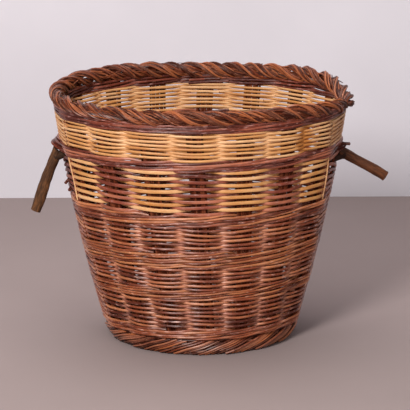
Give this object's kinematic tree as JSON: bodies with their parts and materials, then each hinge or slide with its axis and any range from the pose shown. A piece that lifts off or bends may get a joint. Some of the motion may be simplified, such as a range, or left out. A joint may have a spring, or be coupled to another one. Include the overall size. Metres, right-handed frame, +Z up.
{
  "type": "harvest basket",
  "caption": "Oval willow basket for carrying and storing crops: open at the top, flared sides woven round upright stakes, and a loose stick handle through each end.",
  "frame": {"origin": "on the ground under the foot border, midway between the tips of the two handles and midway from front to back", "axes": "+X along the length of the oval, towards the right handle; -Y towards the front; +Z up out of the opening"},
  "size_m": [0.7052, 0.4536, 0.5],
  "materials": {
    "stake_willow": "split of thin brown rods side by side",
    "base_stick": "plain shaved willow",
    "brown_willow": "smooth brown willow",
    "dark_willow": "smooth purple-brown willow",
    "orange_willow": "smooth orange-brown willow",
    "peeled_willow": "peeled willow, satin",
    "border_willow": "smooth dark brown willow",
    "bark": "rough brown bark"
  },
  "bodies": {
    "basket": {"stake_01": "stake_willow", "stake_02": "stake_willow", "stake_03": "stake_willow", "stake_04": "stake_willow", "stake_05": "stake_willow", "stake_06": "stake_willow", "stake_07": "stake_willow", "stake_08": "stake_willow", "stake_09": "stake_willow", "stake_10": "stake_willow", "stake_11": "stake_willow", "stake_12": "stake_willow", "stake_13": "stake_willow", "stake_14": "stake_willow", "stake_15": "stake_willow", "stake_16": "stake_willow", "base_stick_long_1": "base_stick", "base_stick_long_2": "base_stick", "base_stick_long_3": "base_stick", "base_stick_long_4": "base_stick", "base_stick_split_1": "base_stick", "base_stick_split_2": "base_stick", "base_stick_split_3": "base_stick", "base_stick_split_4": "base_stick", "base_weave": "brown_willow", "lower_weaver_inner": "brown_willow", "lower_weaver_outer": "brown_willow", "middle_weaver_inner": "brown_willow", "middle_weaver_outer": "brown_willow", "upper_weaver_inner": "brown_willow", "upper_weaver_outer": "brown_willow", "upsett_wale": "dark_willow", "lower_wale": "dark_willow", "upper_wale": "dark_willow", "check_dark_weaver": "dark_willow", "shoulder_wale": "dark_willow", "top_wale": "dark_willow", "middle_wale": "orange_willow", "check_light_weaver": "peeled_willow", "light_weaver_inner": "peeled_willow", "light_weaver_outer": "peeled_willow", "foot_border": "border_willow", "rim_border": "border_willow"},
    "left_handle": {"left_handle": "bark"},
    "right_handle": {"right_handle": "bark"}
  },
  "joints": [
    {"name": "left_handle_swing", "type": "hinge", "parent": "basket", "child": "left_handle", "pos_m": [-0.28273, 0.00587, 0.36297], "axis": [0, 1, 0], "range_deg": [0, 39]},
    {"name": "right_handle_swing", "type": "hinge", "parent": "basket", "child": "right_handle", "pos_m": [0.24415, -0.0054, 0.35393], "axis": [0, 1, 0], "range_deg": [0, 39]}
  ]
}
